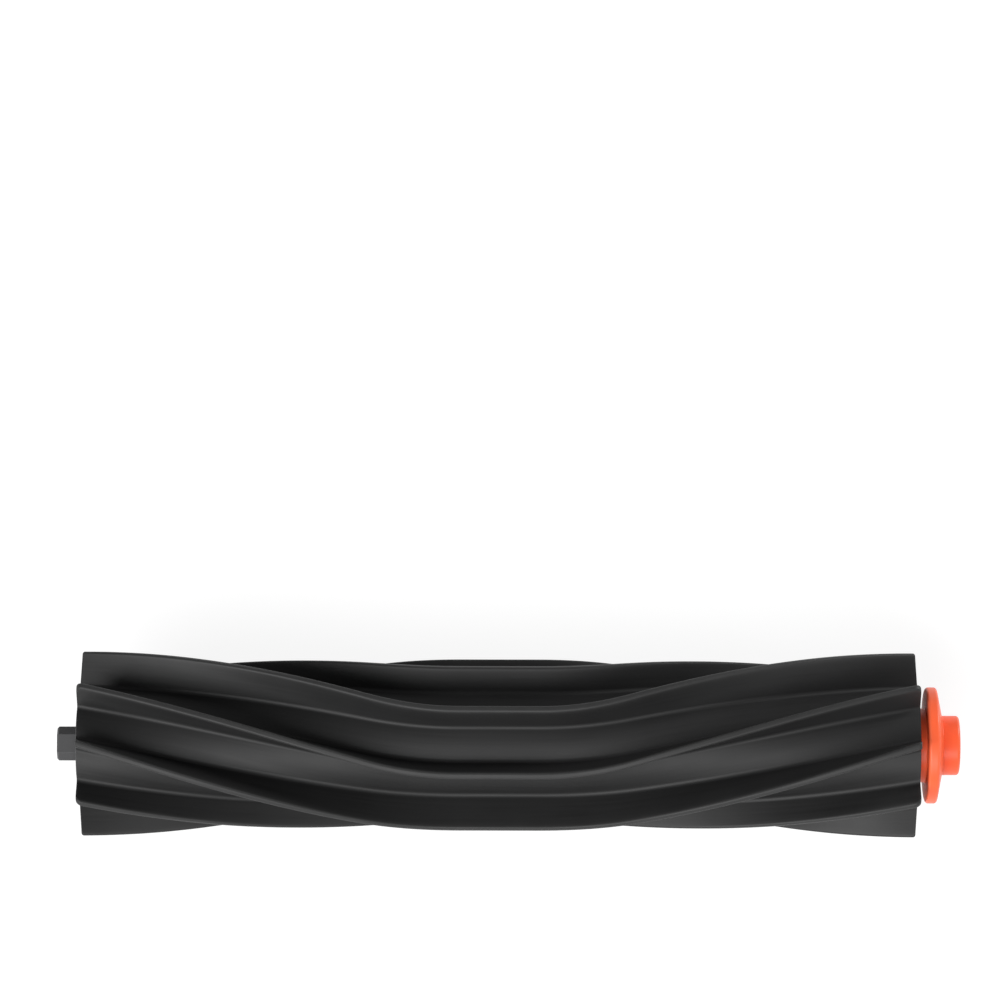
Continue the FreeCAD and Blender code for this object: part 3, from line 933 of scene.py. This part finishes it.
class ROLLER_OT_add_rubber_sleeve(bpy.types.Operator):
    """Sweep the twisted fins and put them in place of the plain sleeve"""

    bl_idname = "roller.add_rubber_sleeve"
    bl_label = "Add Rubber Sleeve"

    def execute(self, context):
        sizes = context.scene.roller_sleeve
        if not sizes.bore_radius < sizes.floor_radius < sizes.short_radius <= sizes.tall_radius:
            raise ValueError("the sleeve's radii must grow from the bore to the floor and the fins")
        rubber = Finishes(context.scene.roller_finishes).rubber()
        piece = add_object("rubber_sleeve", bpy.data.meshes.new("rubber_sleeve"))
        sweep = piece.modifiers.new("Finned Sleeve", "NODES")
        sweep.node_group = finned_sleeve_tree(sizes)
        values = {p.name: getattr(sizes, p.identifier) for p in own_properties(sizes)}
        set_modifier_inputs(sweep, {**values, "Material": rubber})
        fit_piece(piece, "roller", "finned_sleeve")
        return {"FINISHED"}


class ROLLER_OT_add_bearing_cap(bpy.types.Operator):
    """Turn the cap with its collar, flange and boss"""

    bl_idname = "roller.add_bearing_cap"
    bl_label = "Add Bearing Cap"

    def execute(self, context):
        sizes = context.scene.roller_cap
        if not sizes.hollow_radius < sizes.pocket_radius < sizes.collar_radius < sizes.flange_radius:
            raise ValueError("the cap's radii must grow from the hollow to the pocket, collar and flange")
        mesh = skinned_mesh("bearing_cap", cap_rings(sizes))
        mesh.materials.append(Finishes(context.scene.roller_finishes).plastic("orange_plastic", "cap"))
        fit_piece(add_object("bearing_cap", mesh), "cap", "end_cap")
        return {"FINISHED"}


class ROLLER_OT_add_drive_plug(bpy.types.Operator):
    """Build the drive plug with its bevelled square pin, thin flange and spigot"""

    bl_idname = "roller.add_drive_plug"
    bl_label = "Add Drive Plug"

    def execute(self, context):
        sizes = context.scene.roller_plug
        if not sizes.across_flats / 2 + sizes.corner_bevel < sizes.spigot_radius < sizes.flange_radius:
            raise ValueError("the plug's pin must stay inside its spigot, and that inside its flange")
        mesh = skinned_mesh("square_plug", plug_rings(sizes))
        mesh.materials.append(Finishes(context.scene.roller_finishes).plastic("grey_plastic", "drive"))
        fit_piece(add_object("square_plug", mesh), "roller", "drive_plug")
        return {"FINISHED"}


class ROLLER_OT_finish_inner_parts(bpy.types.Operator):
    """Give the core, the axle and the bearing their finishes"""

    bl_idname = "roller.finish_inner_parts"
    bl_label = "Finish Inner Parts"

    def execute(self, context):
        finishes = Finishes(context.scene.roller_finishes)
        core = finishes.plastic("black_plastic", "core")
        ground = finishes.metal("ground_steel", "steel", "ground")
        polished = finishes.metal("polished_steel", "steel", "ball")
        brass = finishes.metal("pressed_brass", "brass", "brass")
        finish_of = {
            "roller_core": core,
            "axle_plug": core,
            "axle": ground,
            "bearing_inner_ring": ground,
            "bearing_outer_ring": ground,
            "shield_inboard": ground,
            "shield_outboard": ground,
            "bearing_balls": polished,
            "ball_cage": brass,
        }
        for node, material in finish_of.items():
            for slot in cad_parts[node].material_slots:
                slot.material = material
        return {"FINISHED"}


class ROLLER_OT_set_stage(bpy.types.Operator):
    """Lay the floor and set the lamps, the sky and the camera"""

    bl_idname = "roller.set_stage"
    bl_label = "Set Stage"

    def execute(self, context):
        stage = context.scene.roller_stage
        self.lay_floor(stage)
        self.hang_lamps(stage)
        self.light_sky(context.scene, stage)
        self.place_camera(context.scene, stage)
        context.scene.view_settings.view_transform = "Standard"
        return {"FINISHED"}

    def lay_floor(self, stage):
        """Pale square under the roller's lowest fins."""
        half = stage.floor_size / 2
        corners = [(-half, -half), (half, -half), (half, half), (-half, half)]
        mesh = bpy.data.meshes.new("floor")
        mesh.from_pydata([(*corner, cad_box[0].z) for corner in corners], [], [range(len(corners))])
        mesh.materials.append(floor_material(stage))
        add_object("floor", mesh)

    def hang_lamps(self, stage):
        """A large soft lamp in front and a small one beside the cap."""
        self.hang_lamp("key_lamp", stage.key_power, stage.key_place, stage.key_sides)
        self.hang_lamp("fill_lamp", stage.fill_power, stage.fill_place, stage.fill_sides)

    def hang_lamp(self, name, watts, place, sides):
        """A soft lamp with straight sides that faces the roller's middle."""
        lamp = bpy.data.lights.new(name, "AREA")
        lamp.shape = "RECTANGLE"
        lamp.size, lamp.size_y = sides
        lamp.energy = watts
        add_object(name, lamp).matrix_world = facing(Vector(place), Vector())

    def light_sky(self, scene, stage):
        """A faint even light from all round."""
        scene.world = bpy.data.worlds.new("studio")
        scene.world.use_nodes = True
        scene.world.node_tree.nodes.clear()
        nodes = Nodes(scene.world.node_tree)
        sky = nodes.add("ShaderNodeBackground", {"Color": WHITE, "Strength": stage.sky_strength})
        nodes.add("ShaderNodeOutputWorld", {"Surface": sky.outputs[0]})

    def place_camera(self, scene, stage):
        """Camera high in front of the roller, aimed past it so that it lies low in the picture."""
        lens = bpy.data.cameras.new("camera")
        lens.lens = stage.focal_length
        camera = add_object("camera", lens)
        rise = stage.view_elevation
        axis_point = Vector((stage.view_place, 0, 0))
        back = Vector((0, -math.cos(rise), math.sin(rise)))
        up = Vector((0, math.sin(rise), math.cos(rise)))
        place = axis_point + back * stage.view_distance
        camera.matrix_world = facing(place, axis_point + up * stage.view_lift, stage.view_roll)
        scene.camera = camera


class ROLLER_PT_brush(bpy.types.Panel):
    """Sizes, colours and steps of the roller brush"""

    bl_idname = "ROLLER_PT_brush"
    bl_label = "Roller Brush"
    bl_space_type = "VIEW_3D"
    bl_region_type = "UI"
    bl_category = "Roller Brush"

    def draw(self, context):
        for operator in OPERATORS:
            self.layout.operator(operator.bl_idname)
        for name, group in SETTINGS.items():
            box = self.layout.box()
            box.label(text=group.__doc__)
            settings = getattr(context.scene, name)
            for prop in own_properties(settings):
                box.prop(settings, prop.identifier)


SETTINGS = {
    "roller_sleeve": SleeveSizes,
    "roller_cap": CapSizes,
    "roller_plug": PlugSizes,
    "roller_finishes": FinishSettings,
    "roller_stage": StageSettings,
}
OPERATORS = (
    ROLLER_OT_add_rubber_sleeve,
    ROLLER_OT_add_bearing_cap,
    ROLLER_OT_add_drive_plug,
    ROLLER_OT_finish_inner_parts,
    ROLLER_OT_set_stage,
)
CLASSES = (*SETTINGS.values(), *OPERATORS, ROLLER_PT_brush)


def register():
    """Makes the settings, steps and panel known."""
    for cls in CLASSES:
        bpy.utils.register_class(cls)
    for name, group in SETTINGS.items():
        setattr(bpy.types.Scene, name, PointerProperty(type=group))


def unregister():
    """Takes the settings, steps and panel away."""
    for name in SETTINGS:
        delattr(bpy.types.Scene, name)
    for cls in reversed(CLASSES):
        bpy.utils.unregister_class(cls)


def main():
    """Builds every piece and the stage."""
    register()
    bpy.ops.roller.add_rubber_sleeve()
    bpy.ops.roller.add_bearing_cap()
    bpy.ops.roller.add_drive_plug()
    bpy.ops.roller.finish_inner_parts()
    bpy.ops.roller.set_stage()


if __name__ == "__main__":
    main()
